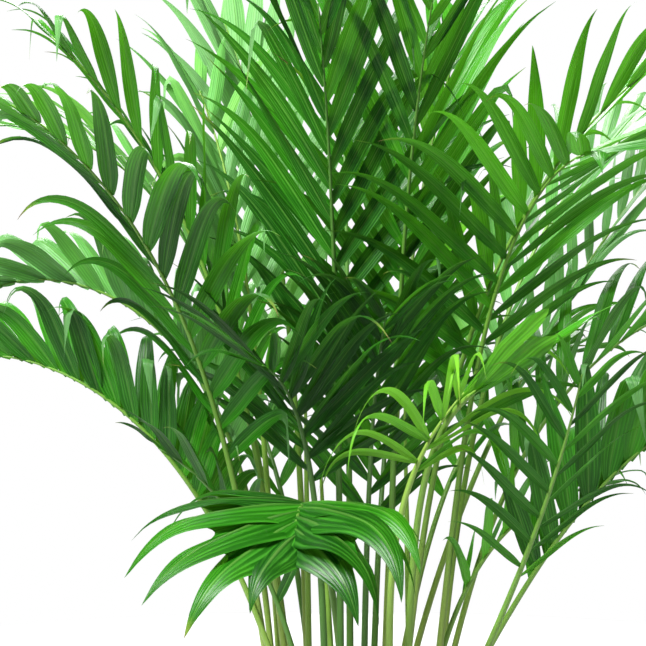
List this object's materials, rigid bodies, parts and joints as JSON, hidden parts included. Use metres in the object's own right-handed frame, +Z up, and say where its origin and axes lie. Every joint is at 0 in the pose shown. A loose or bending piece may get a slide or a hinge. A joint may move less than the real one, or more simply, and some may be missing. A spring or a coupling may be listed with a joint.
{
  "type": "potted palm",
  "caption": "A kentia-type feather palm: young stems with arching fronds of broad drooping leaflets, planted in soil in a plain round tapered pot with a rim band.",
  "frame": {"origin": "centre of the pot's flat bottom, which stands on z = 0", "axes": "+Z up along the plant's height, which is its longest extent, -Y the front as pictured, +X to the right seen from the front"},
  "size_m": [1.1755, 1.1097, 1.5156],
  "materials": {
    "pot": "matt fired clay",
    "soil": "loose bark compost",
    "stem": "fibrous",
    "frond": "satin",
    "spear": "satin"
  },
  "bodies": {
    "root": {"pot": "pot", "soil": "soil", "stem_01": "stem", "stem_02": "stem", "stem_03": "stem", "stem_04": "stem", "stem_05": "stem", "stem_06": "stem", "stem_07": "stem", "frond_01": "frond", "frond_02": "frond", "frond_03": "frond", "frond_04": "frond", "frond_05": "frond", "frond_06": "frond", "frond_07": "frond", "frond_08": "frond", "frond_09": "frond", "frond_10": "frond", "frond_11": "frond", "frond_12": "frond", "frond_13": "frond", "frond_14": "frond", "frond_15": "frond", "frond_16": "frond", "frond_17": "frond", "frond_18": "frond", "frond_19": "frond", "frond_20": "frond", "frond_21": "frond", "frond_22": "frond", "frond_23": "frond", "frond_24": "frond", "frond_25": "frond", "frond_26": "frond", "frond_27": "frond", "frond_28": "frond", "spear_01": "spear", "spear_02": "spear", "spear_03": "spear"}
  },
  "joints": []
}
